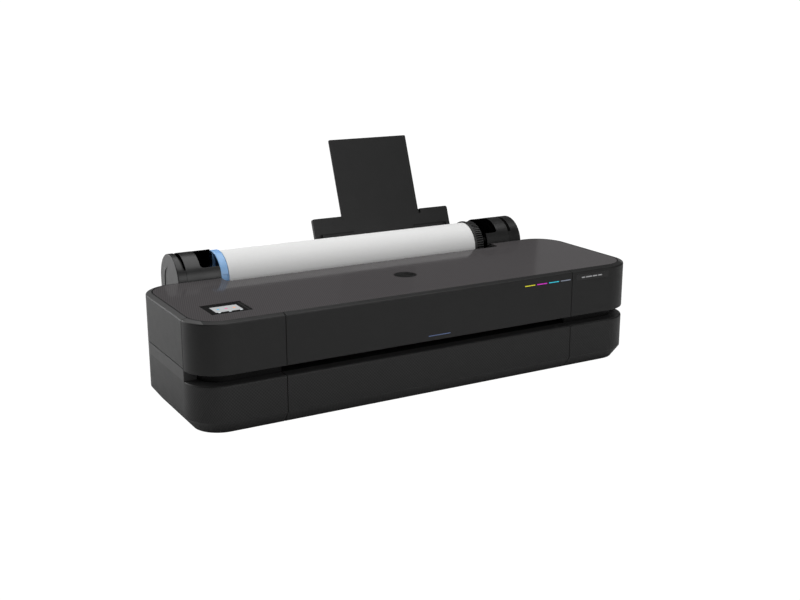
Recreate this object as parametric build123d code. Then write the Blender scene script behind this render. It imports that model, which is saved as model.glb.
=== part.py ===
from build123d import *
import math
import os

# Large format inkjet plotter with a 24-inch paper roll behind the body and a sheet tray that stands up
# behind the roll. Millimetres. +Z is up, the front of the machine faces -Y, and +X is to the right of
# someone standing in front of it. The origin is on the floor, under the middle of the body.

# ---------------------------------------------------------------- driving dimensions
BODY_W = 1009.0
BODY_D = 326.8
CORNER_R = 70.0
FOOT_H = 3.0
CHAMFER_TOP = 27.3          # height where the bottom chamfer meets the walls
CHAMFER_IN = 17.6
LOWER_TOP = 97.4            # front ledge of the lower covers
UPPER_BOTTOM = 117.2        # lower edge of the upper covers, over the paper slot
SIDE_SEAM_Z = 121.3         # seam between the lower covers and the side panels
SIDE_SEAM_Y = -98.0         # seam between the front covers and the side panels
BODY_TOP = 216.3
WALL = 2.5
SEAM = 1.4
SEAM_X = 328.5              # seams either side of the front door
SLOT_DEPTH = 28.0
RIM_IN = 12.6               # width of the rim round the top cover
RIM_DROP = 3.0              # the rim falls by this much towards its outer edge
RIM_R = 3.0
COVER_GAP = 1.0
COVER_T = 3.0
REAR_SEAM_X = 440.0

RECESS_X = (-330.0, 337.0)  # the top cover is cut back here to clear the roll
RECESS_Y = 118.0
RECESS_R = 12.0
DECK_TOP = 150.0
REAR_Y = 276.0

ROLL_Y = 219.3
ROLL_Z = 205.0
ROLL_R = 51.8
ROLL_X = (-305.5, 304.5)
CORE_R = 28.0
CORE_BORE = 25.4
HOUSING_R = 56.8
HOUSING_WALL = 3.5
LEFT_OUTER_X, LEFT_CAP_X, LEFT_OPENING_X, LEFT_INNER_X = -417.3, -398.0, -366.0, -325.0
RIGHT_OUTER_X, RIGHT_CAP_X, RIGHT_OPENING_X, RIGHT_INNER_X = 431.3, 400.0, 368.0, 336.0
OPENING_ANGLES = (34, 108)  # degrees round the roll, up from the front, that each housing is open
OPENING_CORNER = 7.0
GROOVE_W = 7.5              # groove round each end cap, beside the housing
GROOVE_DEPTH = 8.0
CAP_DISH_R = 28.5
CAP_DISH_DEPTH = 1.2
BEARING_STEP = 5.0          # from a housing's end wall to its bearing
BEARING_W = 10.0
COLLAR_X = (-324.0, -307.5)
COLLAR_R = 54.5
COLLAR_WINDOWS = 4
WINDOW_START = -20
WINDOW_ANGLE = 35
WINDOW_DEPTH = 1.2
COLLAR_RIM = 2.2            # wall round the dish in the collar
DISC_X = (305.0, 309.0)
DISC_R = 55.0
WHEEL_X = (309.6, 327.5)
WHEEL_R = 53.0
WHEEL_RIBS = 62
RIB_DEPTH = 2.2
JOURNAL_R = 8.0
BEARING_R = 12.0
RUNNING = 0.05              # radial clearance of a running fit

TRAY_X = (-45.0, 316.0)
TRAY_TOP_Y = 313.4
TRAY_TOP_Z = 283.0
TRAY_LEAN = 20.2
TRAY_LENGTH = 166.3
TRAY_T = 8.0
EXTENSION_X = (31.4, 236.2)
EXTENSION_OUT = 180.5
EXTENSION_IN = 30.0
EXTENSION_T = 3.4
EXTENSION_W = -2.2          # the extension's face lies this far behind the tray's face

DOOR_AXIS_Y = -157.4
DOOR_AXIS_Z = 120.4
DOOR_PIN_R = 3.0

FEED_Y, FEED_Z, FEED_R = 25.0, 97.0, 12.0
EXIT_R = 9.0
PINCH_R = 5.0
GEAR_MODULE = 1.0
FEED_TEETH, IDLER_TEETH, EXIT_TEETH, PINION_TEETH = 48, 55, 36, 16
GEAR_X = (-470.0, -464.0)
FRAME_X = 458.0
FRAME_T = 3.0
ROD_Y, ROD_Z, ROD_R = 30.0, 150.0, 5.0
BELT_Y, PULLEY_X, PULLEY_R = 50.0, 440.0, 8.0
CARRIAGE_X = 385.0
CARRIAGE_W = 70.0
PLATEN_TOP = 106.0
CUTTER_X = -385.0
CUTTER_Y = -104.0

MARK_PITCH = 30.5
MARK_SIZE = (26.2, 2.2)     # pockets in the door for the ink-colour marks
MARK_Z = 198.9
MARK_DEPTH = 0.5
CARTRIDGE_X = 219.7         # middle of the first cartridge
CARTRIDGE_W = 25.0
SCREEN_BOX = (-447.5, -366.5, -106.0, -36.0)
SCREEN_MARGIN = (14.0, 16.3)  # from the edge of the display to its lit panel, across and along
NAMEPLATE_BOX = (339.3, 427.7, 193.1, 206.7)
NAMEPLATE_DEPTH = 0.6
BUTTON_X, BUTTON_Z = -376.0, 90.0
TUBE_CLIP_X = 6.0
LIGHT_BOX = (-24.0, 27.0, 126.2, 128.2)
LIGHT_DEPTH = 0.6           # the light guide's groove in the door
SCREW_SPOTS = [(x, y) for x in (-470, -200, 200, 470) for y in (-105, 105)]
SCREW_R = 1.5


# ---------------------------------------------------------------- helpers
def block(x0, x1, y0, y1, z0, z1):
    """A box between two corners."""
    centre = Location(((x0 + x1) / 2, (y0 + y1) / 2, (z0 + z1) / 2))
    return centre * Box(abs(x1 - x0), abs(y1 - y0), abs(z1 - z0))


def rod_x(x0, x1, y, z, radius):
    """A cylinder along X."""
    return Location(((x0 + x1) / 2, y, z), (0, 90, 0)) * Cylinder(radius, abs(x1 - x0))


def rod_y(x, y0, y1, z, radius):
    """A cylinder along Y."""
    return Location((x, (y0 + y1) / 2, z), (90, 0, 0)) * Cylinder(radius, abs(y1 - y0))


def rod_z(x, y, z0, z1, radius):
    """A cylinder along Z."""
    return Location((x, y, (z0 + z1) / 2)) * Cylinder(radius, abs(z1 - z0))


def side_profile(points, x0, x1):
    """Extrude a closed outline of (y, z) points along X."""
    face = make_face(Polyline(*[(x0, y, z) for y, z in points], close=True))
    return extrude(face, amount=x1 - x0, dir=(1, 0, 0))


def footprint(z, inset):
    """The rounded plan of the body at height z, moved in by inset."""
    width = BODY_W - 2 * inset
    depth = BODY_D - 2 * inset
    return Plane.XY.offset(z) * RectangleRounded(width, depth, CORNER_R - inset)


def slab(inset, z0, z1):
    return extrude(footprint(z0, inset), amount=z1 - z0)


def chamfered_base(inset, z0):
    """The part of the body below the walls, drawn in towards the floor."""
    sketches = Sketch() + [footprint(z0, CHAMFER_IN + inset), footprint(CHAMFER_TOP, inset)]
    return loft(sketches, ruled=True)


def sloped_rim():
    """The top of the body's walls, drawn in and up to the edge of the top cover."""
    sketches = Sketch() + [footprint(BODY_TOP - RIM_DROP, 0), footprint(BODY_TOP, RIM_IN - 0.5)]
    return loft(sketches, ruled=True)


def round_rim(solid):
    """Rounds the outer edge of the sloped rim."""
    edge_z = BODY_TOP - RIM_DROP
    outer_edges = solid.edges().filter_by_position(Axis.Z, edge_z - 0.01, edge_z + 0.01)
    return fillet(outer_edges, RIM_R)


def round_top(solid, radius):
    return fillet(solid.faces().sort_by(Axis.Z)[-1].edges(), radius)


def round_bottom(solid, radius):
    return fillet(solid.faces().sort_by(Axis.Z)[0].edges(), radius)


def toothed_wheel(teeth, outer_r, root_r, x0, x1, y, z, land, phase=0.0):
    """A wheel with straight-sided teeth; land is the tip's share of a tooth pitch."""
    pitch = 2 * math.pi / teeth
    points = []
    for tooth in range(teeth):
        middle = phase + tooth * pitch
        for offset, radius in ((-0.30, root_r), (-land / 2, outer_r), (land / 2, outer_r), (0.30, root_r)):
            angle = middle + offset * pitch
            points.append((y + radius * math.cos(angle), z + radius * math.sin(angle)))
    return side_profile(points, x0, x1)


def gear(teeth, x0, x1, y, z, phase):
    pitch_r = GEAR_MODULE * teeth / 2
    addendum, dedendum = 0.8 * GEAR_MODULE, 1.2 * GEAR_MODULE
    return toothed_wheel(teeth, pitch_r + addendum, pitch_r - dedendum, x0, x1, y, z, 0.18, phase)


# ---------------------------------------------------------------- body shell
def lower_shell():
    """Chamfered lower shell: a ledge under the paper slot in front, higher walls at the sides."""
    front = chamfered_base(0, FOOT_H) + round_top(slab(0, CHAMFER_TOP, LOWER_TOP), 3.0)
    sides = chamfered_base(0, FOOT_H) + slab(0, CHAMFER_TOP, SIDE_SEAM_Z - SEAM / 2)
    front_zone = block(-600, 600, -200, SIDE_SEAM_Y, 0, 200)
    outer = (front & front_zone) + (sides - front_zone)
    ledge_z = LOWER_TOP - WALL
    hollow = chamfered_base(WALL, FOOT_H) + slab(WALL, CHAMFER_TOP, ledge_z)
    behind_ledge = slab(SLOT_DEPTH, ledge_z - 1, SIDE_SEAM_Z + 1)
    side_hollow = slab(WALL, ledge_z - 1, SIDE_SEAM_Z + 1) & block(-600, 600, SIDE_SEAM_Y + WALL, 200, 0, 200)
    return outer - hollow - behind_ledge - side_hollow


def upper_shell():
    """Upper shell of the front: rounded rim on top, a return under the lower edge."""
    outer = round_bottom(round_rim(slab(0, UPPER_BOTTOM, BODY_TOP - RIM_DROP) + sloped_rim()), 1.5)
    hollow = slab(WALL, UPPER_BOTTOM + WALL, BODY_TOP - COVER_T)
    under = slab(SLOT_DEPTH, UPPER_BOTTOM - 1, UPPER_BOTTOM + WALL + 1)
    opening = slab(RIM_IN, BODY_TOP - COVER_T - 1, BODY_TOP + 1)
    return (outer - hollow - under - opening) & block(-600, 600, -200, SIDE_SEAM_Y, 0, 300)


def rear_shell():
    """Full-height shell behind the front covers."""
    walls = round_rim(slab(0, CHAMFER_TOP, BODY_TOP - RIM_DROP) + sloped_rim())
    outer = chamfered_base(0, FOOT_H) + walls
    hollow = chamfered_base(WALL, FOOT_H) + slab(WALL, CHAMFER_TOP, BODY_TOP - COVER_T)
    opening = slab(RIM_IN, BODY_TOP - COVER_T - 1, BODY_TOP + 1)
    return outer - hollow - opening


def lower_covers():
    shell = lower_shell()
    edge = SEAM_X + SEAM / 2
    keep_clear = block(-REAR_SEAM_X - SEAM / 2, REAR_SEAM_X + SEAM / 2, 80, 200, 0, 300)
    left = (shell & block(-600, -edge, -200, 200, 0, 300)) - keep_clear
    right = (shell & block(edge, 600, -200, 200, 0, 300)) - keep_clear
    inner = SEAM_X - SEAM / 2
    panel = shell & block(-inner, inner, -200, -60, 0, 300)
    return left, panel, right


def upper_cover(side):
    """Cover of one front corner, with an inner wall that carries the door's hinge pin.

    The right one has a shallow pocket for a nameplate.
    """
    edge = SEAM_X + SEAM / 2
    cover = upper_shell() & block(side * edge, side * 600, -200, SIDE_SEAM_Y - SEAM, 0, 300)
    wall_x = side * (edge + WALL)
    wall = block(side * edge, wall_x, -BODY_D / 2 + 1, -105, UPPER_BOTTOM + 1, BODY_TOP - COVER_T)
    socket = rod_x(side * (edge - 1), side * (edge + 4), DOOR_AXIS_Y, DOOR_AXIS_Z, DOOR_PIN_R + RUNNING)
    cover = cover + wall - socket
    if side > 0:
        x0, x1, z0, z1 = NAMEPLATE_BOX
        cover -= block(x0, x1, -BODY_D / 2 - 1, -BODY_D / 2 + NAMEPLATE_DEPTH, z0, z1)
    return cover


def front_door():
    """Drop-down door over the ink cartridges and the carriage, with a hinge pin at each lower corner."""
    inner = SEAM_X - SEAM / 2
    door = upper_shell() & block(-inner, inner, -200, -BODY_D / 2 + RIM_IN, 0, 300)
    for side in (-1, 1):
        lug = block(side * (inner - 8), side * inner, -BODY_D / 2 + 1, -154, UPPER_BOTTOM + 1, 125)
        pin_end = side * (SEAM_X + SEAM / 2 + WALL)
        pin = rod_x(side * (inner - 4), pin_end, DOOR_AXIS_Y, DOOR_AXIS_Z, DOOR_PIN_R)
        door += lug + pin
    x0, x1, z0, z1 = LIGHT_BOX
    door -= block(x0, x1, -BODY_D / 2 - 1, -BODY_D / 2 + LIGHT_DEPTH, z0, z1)
    half_w, half_h = MARK_SIZE[0] / 2, MARK_SIZE[1] / 2
    for index in range(4):
        x = CARTRIDGE_X + MARK_PITCH * index
        front = -BODY_D / 2
        door -= block(x - half_w, x + half_w, front - 1, front + MARK_DEPTH, MARK_Z - half_h, MARK_Z + half_h)
    return door


def side_panel(side):
    zone = block(side * (REAR_SEAM_X + SEAM / 2), side * 600, SIDE_SEAM_Y, 200, SIDE_SEAM_Z + SEAM / 2, 300)
    return rear_shell() & zone


def recess_block(grow, z0):
    """The plan of the roll's recess, with rounded front corners, from height z0 upwards."""
    x0, x1 = RECESS_X[0] - grow, RECESS_X[1] + grow
    centre = ((x0 + x1) / 2, RECESS_Y - grow + 100)
    plan = Location((centre[0], centre[1], z0)) * RectangleRounded(x1 - x0, 200, RECESS_R)
    return extrude(plan, amount=120)


def rear_panel():
    zone = block(-REAR_SEAM_X + SEAM / 2, REAR_SEAM_X - SEAM / 2, 140, 200, 0, 300)
    panel = (rear_shell() & zone) - recess_block(0.4, DECK_TOP - 5)
    front = ROLL_Y - HOUSING_R - 0.4
    for outer_x, inner_x in ((LEFT_OUTER_X, LEFT_INNER_X), (RIGHT_OUTER_X, RIGHT_INNER_X)):
        side = 1 if outer_x > 0 else -1
        x0, x1 = outer_x + side * 0.5, inner_x - side * 0.5
        panel -= block(x0, x1, front, front + 20, DECK_TOP - 5, BODY_TOP + 5)
    return panel


def top_cover():
    """Textured top plate, cut back for the roll, with a window for the display."""
    plate = slab(RIM_IN + COVER_GAP, BODY_TOP - COVER_T, BODY_TOP)
    plate = round_top(plate, 0.6)
    x0, x1, y0, y1 = SCREEN_BOX
    window = block(x0, x1, y0, y1, BODY_TOP - 5, BODY_TOP + 5)
    return plate - recess_block(0, BODY_TOP - 10) - window


def slot_liners():
    """Dark walls at the back of the side grooves, one round each front corner."""
    ring = slab(SLOT_DEPTH - 3, LOWER_TOP + 0.3, UPPER_BOTTOM - 0.3) - slab(SLOT_DEPTH, 0, 300)
    ring = ring & block(-600, 600, -200, SIDE_SEAM_Y - 0.5, 0, 300)
    solids = []
    for side in (-1, 1):
        corner = ring & block(side * (SEAM_X + 3), side * 600, -200, 0, 0, 300)
        y0 = -BODY_D / 2 + SLOT_DEPTH - 3
        x0, x1 = side * (SEAM_X + 0.5), side * (SEAM_X + 3.2)
        cheek = block(x0, x1, y0, -104, LOWER_TOP + 0.3, UPPER_BOTTOM - 0.3)
        solids.append(corner + cheek)
    return solids


def base_pan():
    """Floor of the body, with a stiffening rib round it and one across each frame plate."""
    pan = slab(CHAMFER_IN + WALL + 0.5, FOOT_H, FOOT_H + 3)
    for x in (-FRAME_X, -150, 150, FRAME_X):
        pan += block(x - 1.5, x + 1.5, -120, 120, FOOT_H + 2, 16)
    for x, y in SCREW_SPOTS:
        pan -= rod_z(x, y, FOOT_H - 1, FOOT_H + 4, SCREW_R)
    return pan


def rubber_feet():
    spots = [(-430, -115), (430, -115), (-380, 245), (380, 245)]
    feet = [rod_z(x, y, 0, FOOT_H if y < 0 else 6, 11) for x, y in spots]
    return feet + [rod_z(0, 0, 0, FOOT_H, 14)]


def rear_housing():
    """Box behind the body that carries the roll cradles, with the lining of the recess before the roll."""
    x0, x1 = LEFT_OUTER_X, RIGHT_OUTER_X
    y0 = BODY_D / 2 + 0.6
    box = block(x0, x1, y0, REAR_Y, 6, DECK_TOP)
    box = fillet(box.edges().filter_by(Axis.Z).sort_by(Axis.Y)[-2:], 18)
    hollow = block(x0 + 3, x1 - 3, y0 - 1, REAR_Y - 3, 9, DECK_TOP - 3)
    box -= fillet(hollow.edges().filter_by(Axis.Z).sort_by(Axis.Y)[-2:], 15)
    rx0, rx1 = RECESS_X[0] + 0.4, RECESS_X[1] - 0.4
    front = RECESS_Y + 1.0
    back = ROLL_Y - HOUSING_R - 0.4
    lining = block(rx0, rx1, front, back, DECK_TOP - 3, BODY_TOP - COVER_T - 0.5)
    lining = fillet(lining.edges().filter_by(Axis.Z).sort_by(Axis.Y)[:2], RECESS_R)
    lining -= block(rx0 + 3, rx1 - 3, front + 3, back + 5, DECK_TOP, 300)
    lining -= block(ROLL_X[0] - 12, ROLL_X[1] + 12, front - 1, front + 4, DECK_TOP, DECK_TOP + 8)
    lining += block(rx0, rx1, back - 1, y0 + 1, DECK_TOP - 3, DECK_TOP)
    housing = box + lining
    sheet_slot = block(TRAY_X[0] - 2, TRAY_X[1] + 2, 250, 274.2, DECK_TOP - 6, DECK_TOP + 1)
    inlet = block(-392, -362, REAR_Y - 5, REAR_Y + 1, 40, 62)
    ports = block(-342, -298, REAR_Y - 5, REAR_Y + 1, 40, 58)
    button = rod_y(BUTTON_X, REAR_Y - 5, REAR_Y + 1, BUTTON_Z, 7.0)
    return housing - sheet_slot - inlet - ports - button


# ---------------------------------------------------------------- display, light, button, ports
def display_bezel():
    x0, x1, y0, y1 = SCREEN_BOX
    top = BODY_TOP - 1.2
    tray = block(x0 + 0.3, x1 - 0.3, y0 + 0.3, y1 - 0.3, top - 5, top)
    dx, dy = SCREEN_MARGIN[0] - 0.3, SCREEN_MARGIN[1] - 0.3
    pocket = block(x0 + dx, x1 - dx, y0 + dy, y1 - dy, top - 1.5, top + 1)
    rail = block(x1 - 5.5, x1 - 4.3, y0 + 4, y1 - 4, top - 0.5, top + 0.8)
    return tray - pocket + rail


def display_screen():
    x0, x1, y0, y1 = SCREEN_BOX
    top = BODY_TOP - 1.2
    dx, dy = SCREEN_MARGIN
    return block(x0 + dx, x1 - dx, y0 + dy, y1 - dy, top - 1.5, top - 0.3)


def power_button():
    """Round push button beside the sockets."""
    cap = rod_y(BUTTON_X, REAR_Y - 9, REAR_Y + 1.5, BUTTON_Z, 6.4)
    return fillet(cap.edges().sort_by(Axis.Y)[-1], 1.0)


def socket_body(x0, x1, z0, z1, holes):
    """A moulded socket let into the rear wall, with blind openings that face backwards."""
    body = block(x0 + 0.3, x1 - 0.3, REAR_Y - 26, REAR_Y - 0.5, z0 + 0.3, z1 - 0.3)
    for hx0, hx1, hz0, hz1, depth in holes:
        body -= block(hx0, hx1, REAR_Y - depth, REAR_Y + 1, hz0, hz1)
    return body


def rear_sockets():
    """Mains inlet with its three pins, and a block with the network and data sockets."""
    inlet = socket_body(-392, -362, 40, 62, [(-389, -365, 43, 59, 18)])
    for x in (-384, -377, -370):
        inlet += block(x - 1, x + 1, REAR_Y - 20, REAR_Y - 6, 50, 54)
    ports = socket_body(-342, -298, 40, 58, [(-339, -326, 42.5, 54.5, 14), (-316, -304, 42.5, 54, 14)])
    return [inlet, ports]


# ---------------------------------------------------------------- roll supports
def arch(radius, x0, x1, foot):
    """An upright half-round arch about the roll's axis, standing on height foot."""
    x0, x1 = min(x0, x1), max(x0, x1)
    front, back = ROLL_Y - radius, ROLL_Y + radius
    top = ThreePointArc((x0, front, ROLL_Z), (x0, ROLL_Y, ROLL_Z + radius), (x0, back, ROLL_Z))
    legs = Polyline((x0, back, ROLL_Z), (x0, back, foot), (x0, front, foot), (x0, front, ROLL_Z))
    return extrude(make_face([top, legs]), amount=x1 - x0, dir=(1, 0, 0))


def sector(radius, x0, x1, start, stop):
    """A wedge about the roll's axis between two angles, measured up from the front."""
    points = [(ROLL_Y, ROLL_Z)]
    steps = 6
    for step in range(steps + 1):
        angle = math.radians(start + (stop - start) * step / steps)
        points.append((ROLL_Y - radius * math.cos(angle), ROLL_Z + radius * math.sin(angle)))
    return side_profile(points, min(x0, x1), max(x0, x1))


def opening_cut(inner_x, opening_x):
    """The opening over one end of the spindle, with a rounded lower corner beside the end wall."""
    toward = 1 if inner_x > opening_x else -1
    start, stop = OPENING_ANGLES
    reach = HOUSING_R + 20
    turn = math.degrees(OPENING_CORNER / HOUSING_R)
    corner_x = opening_x + toward * OPENING_CORNER
    cut = sector(reach, corner_x, inner_x + toward, start, stop)
    cut += sector(reach, opening_x, inner_x + toward, start + turn, stop)
    lean = math.radians(start + turn)
    centre = (corner_x, ROLL_Y - HOUSING_R * math.cos(lean), ROLL_Z + HOUSING_R * math.sin(lean))
    cut += Location(centre, (90 - start - turn, 0, 0)) * Cylinder(OPENING_CORNER, 40)
    return cut - rod_x(opening_x - 10 * toward, inner_x + 10 * toward, ROLL_Y, ROLL_Z, HOUSING_R - 12)


def roll_housing(inner_x, cap_x, opening_x):
    """Hollow arch that takes one end of the spindle through an opening in the front of its top."""
    toward = 1 if inner_x > cap_x else -1
    mouth = BEARING_R + 0.3
    housing = arch(HOUSING_R, cap_x + toward * 0.5, inner_x, DECK_TOP)
    hollow_x = opening_x + toward * 3
    housing -= arch(HOUSING_R - HOUSING_WALL, hollow_x, inner_x + toward, DECK_TOP + 3)
    housing -= opening_cut(inner_x, opening_x)
    cheek = arch(HOUSING_R, inner_x - toward * HOUSING_WALL, inner_x, DECK_TOP)
    housing += cheek & block(-600, 600, ROLL_Y + JOURNAL_R + 0.4, 300, DECK_TOP, 300)
    saddle_x = opening_x + toward * (BEARING_STEP - 1)
    saddle_end = saddle_x + toward * (BEARING_W + 2)
    saddle = block(saddle_x, saddle_end, ROLL_Y - 22, ROLL_Y + 22, DECK_TOP + 1, ROLL_Z + 4)
    saddle -= rod_x(saddle_x - toward, saddle_end + toward, ROLL_Y, ROLL_Z, mouth)
    saddle -= block(saddle_x - 20, saddle_x + 20, ROLL_Y - mouth, ROLL_Y + mouth, ROLL_Z, ROLL_Z + 20)
    return housing + saddle


def roll_cap(outer_x, cap_x):
    """End cap of a housing: a shallow arched recess in its outer face, a groove beside the housing."""
    toward = 1 if cap_x > outer_x else -1
    cap = arch(HOUSING_R, outer_x, cap_x, DECK_TOP)
    face = cap.faces().sort_by(Axis.X)[0 if toward > 0 else -1]
    cap = fillet(face.edges().sort_by(Axis.Z)[1:], 2.0)
    groove = sector(HOUSING_R + 20, cap_x - toward * GROOVE_W, cap_x + toward, 33, 150)
    groove -= rod_x(cap_x - 20, cap_x + 20, ROLL_Y, ROLL_Z, HOUSING_R - GROOVE_DEPTH)
    x0, x1 = outer_x - toward, outer_x + toward * CAP_DISH_DEPTH
    dish_y = ROLL_Y + 3
    dish = rod_x(x0, x1, dish_y, ROLL_Z, CAP_DISH_R)
    dish += block(x0, x1, dish_y - CAP_DISH_R, dish_y + CAP_DISH_R, DECK_TOP + 6, ROLL_Z)
    return cap - groove - dish


def spindle_bearings():
    """Two bearing rings that carry the spindle's journals and sit in the saddles."""
    rings = []
    for opening_x, toward in ((LEFT_OPENING_X, 1), (RIGHT_OPENING_X, -1)):
        x0 = opening_x + toward * BEARING_STEP
        x1 = x0 + toward * BEARING_W
        ring = rod_x(x0, x1, ROLL_Y, ROLL_Z, BEARING_R)
        rings.append(ring - rod_x(x0 - toward, x1 + toward, ROLL_Y, ROLL_Z, JOURNAL_R + RUNNING))
    return rings


def spindle_shaft():
    return rod_x(LEFT_OPENING_X + 4, RIGHT_OPENING_X - 4, ROLL_Y, ROLL_Z, JOURNAL_R)


def roll_core():
    tube = rod_x(ROLL_X[0], ROLL_X[1], ROLL_Y, ROLL_Z, CORE_R)
    return tube - rod_x(ROLL_X[0] - 1, ROLL_X[1] + 1, ROLL_Y, ROLL_Z, CORE_BORE)


def paper_roll():
    tube = rod_x(ROLL_X[0], ROLL_X[1], ROLL_Y, ROLL_Z, ROLL_R)
    return tube - rod_x(ROLL_X[0] - 1, ROLL_X[1] + 1, ROLL_Y, ROLL_Z, CORE_R)


def hub_plug(x0, x1):
    """The part of a hub that fills the end of the core and grips the shaft."""
    return rod_x(x0, x1, ROLL_Y, ROLL_Z, CORE_BORE) - rod_x(x0 - 1, x1 + 1, ROLL_Y, ROLL_Z, JOURNAL_R)


def spokes(x0, x1, inner_r, outer_r, count, half_width):
    bars = []
    for index in range(count):
        bar = block(x0, x1, -half_width, half_width, inner_r, outer_r)
        turn = Location((0, ROLL_Y, ROLL_Z), (360 / count * index, 0, 0))
        bars.append(turn * bar)
    return bars


def collar_left():
    """Flange at the left end of the roll: shallow windows round its rim, a dished outer face with spokes,
    and a plug into the core."""
    x0, x1 = COLLAR_X
    flange = rod_x(x0, x1, ROLL_Y, ROLL_Z, COLLAR_R)
    flange = fillet(flange.edges().filter_by(GeomType.CIRCLE), 1.2)
    for index in range(COLLAR_WINDOWS):
        start = WINDOW_START + 360 / COLLAR_WINDOWS * index
        window = sector(COLLAR_R + 5, x0 + 3, x1 - 2, start, start + WINDOW_ANGLE)
        flange -= window - rod_x(x0, x1, ROLL_Y, ROLL_Z, COLLAR_R - WINDOW_DEPTH)
    dish = rod_x(x0 - 1, x0 + 9, ROLL_Y, ROLL_Z, COLLAR_R - COLLAR_RIM)
    flange -= dish - rod_x(x0 - 2, x0 + 10, ROLL_Y, ROLL_Z, 16)
    for bar in spokes(x0 + 2, x0 + 9.5, 15, COLLAR_R - 1.5, 6, 3):
        flange += bar
    flange -= rod_x(x0 - 1, x1 + 1, ROLL_Y, ROLL_Z, JOURNAL_R)
    return flange + hub_plug(x1 - 0.5, -262)


def flange_right():
    """Flange at the right end of the roll with a ribbed hand wheel and spoked outer face."""
    x0, x1 = WHEEL_X
    disc = rod_x(DISC_X[0], DISC_X[1], ROLL_Y, ROLL_Z, DISC_R)
    wheel = toothed_wheel(WHEEL_RIBS, WHEEL_R, WHEEL_R - RIB_DEPTH, x0, x1, ROLL_Y, ROLL_Z, 0.5)
    flange = disc + rod_x(DISC_X[1] - 1, x0 + 1, ROLL_Y, ROLL_Z, WHEEL_R - RIB_DEPTH - 1) + wheel
    dish = rod_x(x1 - 9, x1 + 1, ROLL_Y, ROLL_Z, 46) - rod_x(x1 - 10, x1 + 2, ROLL_Y, ROLL_Z, 16)
    flange -= dish
    for bar in spokes(x1 - 9.5, x1 - 1, 15, 47, 6, 3):
        flange += bar
    flange -= rod_x(300, x1 + 1, ROLL_Y, ROLL_Z, JOURNAL_R)
    return flange + hub_plug(262, 305.5)


# ---------------------------------------------------------------- sheet tray
def tray_frame():
    """Plane of the tray's front face: local x along X, local y up the tray, local z out of its face."""
    lean = math.radians(TRAY_LEAN)
    normal = (0, -math.cos(lean), math.sin(lean))
    return Plane(origin=(0, TRAY_TOP_Y, TRAY_TOP_Z), x_dir=(1, 0, 0), z_dir=normal)


def tray_panel():
    """Wide sleeve that stands behind the roll; the extension slides down into it."""
    panel = block(TRAY_X[0], TRAY_X[1], -TRAY_LENGTH, 0, -TRAY_T, 0)
    corners = panel.edges().filter_by(Axis.Z).sort_by(Axis.Y)[-2:]
    panel = fillet(corners, 5)
    ex0, ex1 = EXTENSION_X[0] - 0.4, EXTENSION_X[1] + 0.4
    panel -= block(ex0, ex1, 4 - TRAY_LENGTH, 1, EXTENSION_W - EXTENSION_T - 0.4, EXTENSION_W + 0.2)
    panel -= block(ex0 - 3, ex1 + 3, -9.5, 1, EXTENSION_W, 1)
    panel -= block(ex1 - 1, ex1 + 4, -11, 1, 1 - TRAY_T, 1)
    for guide_x in (TRAY_X[0] + 8, TRAY_X[1] - 178):
        panel -= block(guide_x, guide_x + 170, -52, -48, -1.2, 1)
    return tray_frame().location * panel


def tray_extension():
    """Narrow panel that is pulled up out of the sleeve."""
    x0, x1 = EXTENSION_X
    panel = block(x0, x1, -EXTENSION_IN, EXTENSION_OUT, EXTENSION_W - EXTENSION_T, EXTENSION_W)
    panel = fillet(panel.edges().filter_by(Axis.Z).sort_by(Axis.Y)[-2:], 3)
    return tray_frame().location * panel


def sheet_guide(side):
    """Sliding side guide: a flat plate on the tray with a thinner upper edge and a fence at its outer end."""
    middle = (TRAY_X[0] + TRAY_X[1]) / 2
    outer = middle + side * 165.5
    plate = block(outer, outer - side * 85, -62, -40, 0.35, 2.6)
    plate += block(outer, outer - side * 85, -41, -37, 0.35, 1.0)
    fence = block(outer, outer + side * -3, -62, -40, 0.35, 12.0)
    key = block(outer - side * 20, outer - side * 70, -51.6, -48.4, -0.9, 1)
    return tray_frame().location * (plate + fence + key)


# ---------------------------------------------------------------- print mechanism
def print_frame():
    """Upright steel side plates joined by the cutter's rail, with the idlers' stud and bracket."""
    frame = block(-FRAME_X, FRAME_X, CUTTER_Y + 10, CUTTER_Y + 12, 112, 122)
    for side in (-1, 1):
        frame += block(side * FRAME_X, side * (FRAME_X + FRAME_T), -125, 110, 16, 205)
    for y, z, radius in ((FEED_Y, FEED_Z, 5), (exit_axis_y(), FEED_Z, 4), (ROD_Y, ROD_Z, ROD_R)):
        frame -= rod_x(-470, 470, y, z, radius + RUNNING)
    frame -= rod_x(-470, -450, pinion_axis_y(), FEED_Z, 5)
    frame += rod_x(GEAR_X[0] - 1, -FRAME_X, idler_axis_y(), FEED_Z, 3)
    bracket = block(-FRAME_X, -PULLEY_X + 12, 60, 64, ROD_Z - 14, ROD_Z + 14)
    return frame + bracket - rod_y(-PULLEY_X, 59, 65, ROD_Z, 2.5 + RUNNING)


def carriage_beam():
    """Folded steel beam across the machine, over the belt."""
    x = FRAME_X - 0.4
    top = block(-x, x, 14, 78, 192, 194)
    front = block(-x, x, 14, 16, 182, 194)
    back = block(-x, x, 76, 78, 176, 194)
    clip = block(-TUBE_CLIP_X, TUBE_CLIP_X, 24, 54, 194, 208)
    return top + front + back + clip


def carriage_rod():
    return rod_x(-FRAME_X - 2, FRAME_X + 2, ROD_Y, ROD_Z, ROD_R)


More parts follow.
